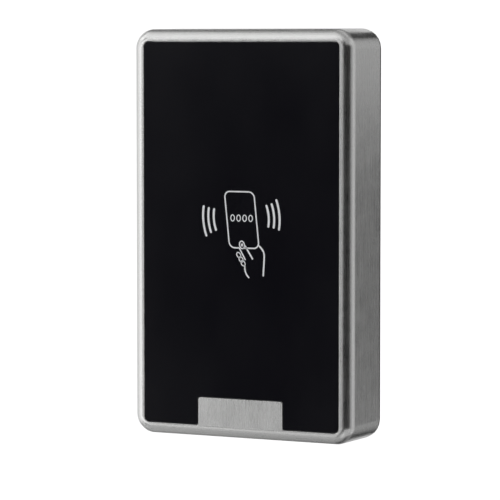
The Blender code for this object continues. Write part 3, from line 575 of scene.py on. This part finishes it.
def make_case():
    past = 1.0 * MM
    ledge_y = FRONT_Y + RECESS_D
    case = piece("case_body", loft(bmesh.new(), outer_rows()), brushed_zinc())
    rows = [(RECESS_EDGE_R, FRONT_Y - past)] + rounding(RECESS_EDGE_R, FRONT_Y, 1) + [(0, ledge_y)]
    recess = loft(bmesh.new(), [row_at(opening_outline(-i), y) for i, y in rows])
    combine(case, "DIFFERENCE", recess)
    middle = (WINDOW_TOP + WINDOW_BOTTOM) / 2
    window = rounded_rect(WINDOW_W, WINDOW_TOP - WINDOW_BOTTOM, WINDOW_R, z=middle)
    ledge_back = ledge_y + LEDGE_T
    combine(case, "DIFFERENCE", prism(bmesh.new(), window, ledge_y - past / 2, ledge_back + past))
    bosses = screw_axes("cover_screw")
    deep = rounded_rect(DEEP_W, DEEP_H, DEEP_R)
    combine(case, "DIFFERENCE", prism(bmesh.new(), deep, ledge_back, SHOULDER_Y + past))
    posts = bmesh.new()
    for x, z in bosses:
        prism(posts, circle(BOSS_R, 32, x, z), ledge_back - LEDGE_T / 2, SHOULDER_Y)
    combine(case, "UNION", posts)
    rows = [(0, SHOULDER_Y)] + rounding(REAR_EDGE_R, BACK_Y, -1)[::-1] + [(REAR_EDGE_R, past)]
    skirt = [
        row_at(rounded_rect(SKIRT_W + 2 * i, SKIRT_H + 2 * i, SKIRT_R + i), y) for i, y in rows
    ]
    combine(case, "DIFFERENCE", loft(bmesh.new(), skirt))
    holes = bmesh.new()
    for x, z in bosses:
        prism(holes, circle(BOSS_HOLE_R, 24, x, z), SHOULDER_Y - BOSS_HOLE_D, SHOULDER_Y + past)
    combine(case, "DIFFERENCE", holes)
    combine(case, "DIFFERENCE", lock_bore())
    shade(case)
    stand_for(case, "reader", "case")


def screw_axes(prefix):
    """The (x, z) of the axis of each screw whose node name starts like this."""
    boxes = [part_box(name) for name in sorted(NODES) if name.startswith(prefix)]
    return [((low.x + high.x) / 2, (low.z + high.z) / 2) for low, high in boxes]


def lock_bore():
    """The stepped hole through the bottom wall for the lock screw."""
    low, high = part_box("lock_screw")
    axis_y = (low.y + high.y) / 2
    seat = CASE_LOW.z + LOCK_SEAT_UP
    steps = [
        (LOCK_BORE_R, CASE_LOW.z - MM),
        (LOCK_BORE_R, seat),
        (LOCK_HOLE_R, seat),
        (LOCK_HOLE_R, -DEEP_H / 2 + MM),
    ]
    rows = [[(x, axis_y + y, z) for x, y in circle(radius, 40)] for radius, z in steps]
    return loft(bmesh.new(), rows)


def make_panel():
    rows = rounding(PANEL_EDGE_R, PANEL_LOW.y, 1) + [(0, PANEL_HIGH.y)]
    outlines = [
        ([(x - PANEL_LEFT, z) for x, z in opening_outline(PANEL_GAP + i)], y) for i, y in rows
    ]
    bm = loft(bmesh.new(), [row_at(outline, y) for outline, y in outlines])
    panel = piece("panel_sheet", bm, black_gloss())
    shade(panel)
    stand_for(panel, "reader", "front_panel")


# The pictogram: a hand that holds a card, with waves at both sides


def ribbon(bm, path, width, closed=False):
    """A thin printed line along (x, z) points in millimetres. Its ends are round if it is open."""
    points = [Vector(point) for point in path]
    last = len(points) - 1
    sides = []
    for i, point in enumerate(points):
        before = points[i - 1] if i or closed else point
        after = points[(i + 1) % len(points)] if i < last or closed else point
        ahead = (after - before).normalized()
        sides.append((point, Vector((-ahead.y, ahead.x)) * width / 2))
    left = [point + side for point, side in sides]
    right = [point - side for point, side in sides]
    front, back = PANEL_LOW.y - PRINT_T, PANEL_LOW.y + PRINT_T
    if closed:
        outer, inner = placed(left), placed(right)
        corners = ((outer, front), (outer, back), (inner, back), (inner, front))
        return loft(bm, [row_at(outline, y) for outline, y in corners], ring=True)
    end, start = round_end(*sides[last], -1), round_end(*sides[0], 1)
    outline = left + end + right[::-1] + start
    return prism(bm, placed(outline), front, back)


def placed(points):
    """Points of the print, in millimetres from its own middle, as places on the panel."""
    return [((x + PRINT_X) * MM, (z + PRINT_Z) * MM) for x, z in points]


def round_end(point, side, way):
    """The half circle past a line's end, from one side of the line to the other."""
    ahead = Vector((side.y, -side.x))
    turns = [math.pi * step / 6 for step in range(1, 6)]
    return [point - way * (side * math.cos(t) + ahead * math.sin(t)) for t in turns]


def smooth_path(points, steps=6):
    """A Catmull-Rom curve through the points."""
    first = 2 * Vector(points[0]) - Vector(points[1])
    final = 2 * Vector(points[-1]) - Vector(points[-2])
    knots = [first] + [Vector(point) for point in points] + [final]
    path = []
    for a, b, c, d in zip(knots, knots[1:], knots[2:], knots[3:]):
        for step in range(steps):
            t = step / steps
            squared = 2 * a - 5 * b + 4 * c - d
            cubed = 3 * b - a - 3 * c + d
            path.append((2 * b + (c - a) * t + squared * t**2 + cubed * t**3) / 2)
    return path + [knots[-2]]


def wave(x, z, radius, turn):
    """An arc that bows out to x at height z, turned a little. A negative radius bows it left."""
    half, count = 14.5, 14
    angles = [math.radians(turn - half + 2 * half * i / count) for i in range(count + 1)]
    return [(x - radius * (1 - math.cos(a)), z + radius * math.sin(a)) for a in angles]


def oval(x, z, width, height, lean=0.0):
    """An upright oval, leaning by an angle in degrees."""
    cos, sin = math.cos(math.radians(lean)), math.sin(math.radians(lean))
    points = [(u * width / 2, v * height / 2) for u, v in circle(1.0, 24)]
    return [(x + u * cos - v * sin, z + u * sin + v * cos) for u, v in points]


def card_path():
    """The card's outline, leaning to the left, open at its lower edge where the thumb is."""
    width, height, radius, lean = 9.6, 16.4, 1.7, math.radians(5.9)
    x, z = 0.5, 4.55
    arcs = rounded_rect(width, height, radius, 8)
    turned = arcs[9:] + arcs[:9]
    low = -height / 2
    path = [(-0.05, low)] + turned + [(-1.75, low)]
    return [(x + u - v * math.tan(lean), z + v) for u, v in path]


def make_pictogram():
    bm = bmesh.new()
    ribbon(bm, card_path(), 0.42)
    for i in range(4):
        ribbon(bm, oval(-2.45 + 1.95 * i, 5.05, 1.2, 1.8), 0.3, closed=True)
    for x, radius in ((-12.15, -17.0), (-10.43, -14.0), (-8.66, -12.0)):
        ribbon(bm, wave(x, 5.6, radius, 5.8), 0.68)
    for x, radius in ((9.3, 12.0), (11.05, 13.5), (12.79, 17.0)):
        ribbon(bm, wave(x, 4.65, radius, 5.8), 0.68)
    ribbon(bm, oval(0.6, -2.75, 1.6, 2.2, 12), 0.36, closed=True)
    ribbon(bm, [(0.6, -2.95), (0.62, -2.6)], 0.6)
    ribbon(bm, [(1.65, -3.05), (4.0, -6.7)], 0.5)
    ribbon(bm, [(-0.2, -3.8), (1.65, -7.0)], 0.4)
    for x, z in ((-0.45, -5.75), (0.3, -7.0), (0.95, -8.1)):
        ribbon(bm, oval(x, z, 1.15, 1.7, 35), 0.32, closed=True)
    ribbon(bm, smooth_path([(1.5, -8.9), (1.6, -10.1), (2.05, -11.3), (2.8, -12.2)]), 0.46)
    ribbon(bm, smooth_path([(6.2, -2.9), (7.3, -4.1), (7.8, -5.5), (7.7, -8.5), (7.5, -11.5)]), 0.5)
    pictogram = piece("pictogram", bm, white_print())
    shade(pictogram)
    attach(pictogram, "reader")


# The tamper spring, which stretches between the switch and the plunger's flange


def make_spring():
    low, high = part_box("tamper_spring")
    x, z = (low.x + high.x) / 2, (low.z + high.z) / 2
    wire_r = 0.2 * MM
    coil_r = (high.x - low.x) / 2 - wire_r
    front, back = low.y + wire_r, high.y - wire_r
    turns, per_turn, around = 4, 32, 10
    flat = 0.75  # turns at each end that don't rise
    bm = bmesh.new()
    rows = []
    for i in range(turns * per_turn + 1):
        share = i / (turns * per_turn)
        rise = min(max((share * turns - flat) / (turns - 2 * flat), 0.0), 1.0)
        angle = 2 * math.pi * i / per_turn
        out = Vector((math.cos(angle), 0, math.sin(angle)))
        middle = Vector((x, front + (back - front) * rise, z)) + out * coil_r
        row = []
        for k in range(around):
            turn = 2 * math.pi * k / around
            row.append(middle + (out * math.cos(turn) + Vector((0, math.sin(turn), 0))) * wire_r)
        rows.append(row)
    loft(bm, rows)
    steel = metal("spring_steel", (0.5, 0.5, 0.51), (0.6, 0.6, 0.61), 0.25, (0.1, 0.5, 0.1), 0.002)
    spring = piece("tamper_coil_spring", bm, steel)
    spring.data.shade_smooth()
    spring.data.set_sharp_from_angle(angle=SHARP)
    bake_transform(spring)
    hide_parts("tamper_spring")


# Studio


SOFTBOXES = (
    # name, azimuth and elevation of its centre, width and height as angles (degrees), brightness
    ("left_near", -44, -4, 22, 36, 1.60),
    ("left", -68, 0, 26, 60, 1.20),
    ("left_back1", -95, 0, 30, 60, 0.85),
    ("left_back2", -125, 0, 30, 70, 0.95),
    ("back_left", -157, 0, 34, 70, 0.80),
    ("back_right_up", 153, 13, 26, 26, 0.49),
    ("back_right_mid", 153, -5, 26, 10, 0.10),
    ("back_right_low", 153, -22, 26, 24, 0.34),
    ("right3", 132, 0, 18, 70, 0.64),
    ("right2", 110, 2, 24, 90, 0.75),
    ("right1", 86, 0, 22, 70, 0.45),
    ("front_r", -12, -4, 16, 40, 0.63),
    ("above_hole", -27, 14.5, 18, 19, 1.20),
    ("below_hole", -27, -23, 18, 20, 0.84),
    ("key1", -34, 36, 74, 24, 1.20),
    ("key2", -34, 58, 74, 20, 0.88),
    ("top_front", -27, 78, 60, 20, 0.43),
    ("top_back", 153, 76, 60, 26, 0.66),
    ("high_back", 153, 48, 60, 26, 0.26),
    ("high_right", 60, 40, 60, 40, 0.44),
    ("high_left", -100, 45, 50, 30, 0.33),
    ("low_front", -27, -48, 80, 28, 0.51),
    ("bottom", -27, -77, 60, 28, 0.40),
    ("low_back", 153, -55, 70, 30, 0.30),
    ("low_right", 50, -40, 60, 40, 0.55),
    ("low_left", -105, -48, 60, 30, 0.31),
)
SOFTBOX_DISTANCE = 1.4
ROOM_BRIGHTNESS = 0.012


def direction(azimuth, elevation):
    """Unit vector out from the object: azimuth 0 is to the front, 90 to the right."""
    a, e = math.radians(azimuth), math.radians(elevation)
    return Vector((math.sin(a) * math.cos(e), -math.cos(a) * math.cos(e), math.sin(e)))


def make_lights():
    for name, azimuth, elevation, width, height, brightness in SOFTBOXES:
        lamp = bpy.data.lights.new(name, "AREA")
        lamp.shape = "RECTANGLE"
        lamp.size = 2 * SOFTBOX_DISTANCE * math.tan(math.radians(width / 2))
        lamp.size_y = 2 * SOFTBOX_DISTANCE * math.tan(math.radians(height / 2))
        lamp.energy = math.pi * lamp.size * lamp.size_y * brightness
        softbox = bpy.data.objects.new(name, lamp)
        out = direction(azimuth, elevation)
        softbox.location = CENTRE + out * SOFTBOX_DISTANCE
        softbox.rotation_euler = out.to_track_quat("Z", "Y").to_euler()
        softbox.visible_camera = False
        bpy.context.scene.collection.objects.link(softbox)
    world = bpy.data.worlds.new("dim_room")
    world.use_nodes = True
    background = world.node_tree.nodes["Background"]
    background.inputs["Color"].default_value = (*(ROOM_BRIGHTNESS,) * 3, 1)
    bpy.context.scene.world = world


def make_floor():
    """A white floor that curves up into a wall. Only the camera sees it, so it lights nothing."""
    depth, radius, cove_r, height, count, steps = 1.0, 3.5, 1.2, 3.5, 96, 12
    hole_r = 0.05
    profile = [(hole_r, -depth)]
    for step in range(steps + 1):
        turn = math.pi / 2 * step / steps
        profile.append(
            (radius - cove_r * (1 - math.sin(turn)), -depth + cove_r * (1 - math.cos(turn)))
        )
    profile.append((radius, height))
    profile.append((hole_r, height + 1))
    bm = bmesh.new()
    loft(bm, [[(x, y, z) for x, y in circle(r, count)] for r, z in profile])
    white = Finish("white_floor", Roughness=0.9, Emission_Strength=1.0)
    grain = white.span(white.noise((400, 400, 400)), 0.0, 1.0)
    white.colour(grain, (0.85, 0.85, 0.85), (0.87, 0.87, 0.87))
    white.put(white.shader.inputs["Emission Color"], (1, 1, 1, 1))
    floor = piece("white_floor", bm, white.material)
    floor.data.shade_smooth()
    floor.visible_diffuse = False
    floor.visible_glossy = False
    floor.visible_transmission = False
    floor.visible_shadow = False


def make_camera():
    yaw, pitch, distance = 26.58, 4.03, 0.8685
    # The object sits to the right of the picture's middle and above it.
    aim = CENTRE + Vector((-1.945, 0.08, -5.05)) * MM
    lens = bpy.data.cameras.new("camera")
    lens.sensor_width = 36
    lens.lens = 212.1
    lens.clip_start, lens.clip_end = 0.05, 50
    camera = bpy.data.objects.new("camera", lens)
    out = direction(yaw, pitch)
    camera.location = aim + out * distance
    camera.rotation_euler = out.to_track_quat("Z", "Y").to_euler()
    bpy.context.scene.collection.objects.link(camera)
    bpy.context.scene.camera = camera


dress_nodes()
make_case()
make_panel()
make_pictogram()
make_spring()
for name, width in (
    ("wall_plate", 0.15),
    ("back_cover", 0.2),
    ("cable_grommet", 0.25),
    ("lock_screw", 0.1),
    ("lock_washer", 0.08),
    ("lock_nut", 0.15),
    ("tamper_plunger", 0.1),
):
    soften(name, width * MM)
for name in sorted(NODES):
    if name.startswith("cover_screw"):
        soften(name, 0.08 * MM)
make_floor()
make_lights()
make_camera()
bpy.context.scene.view_settings.view_transform = "Standard"
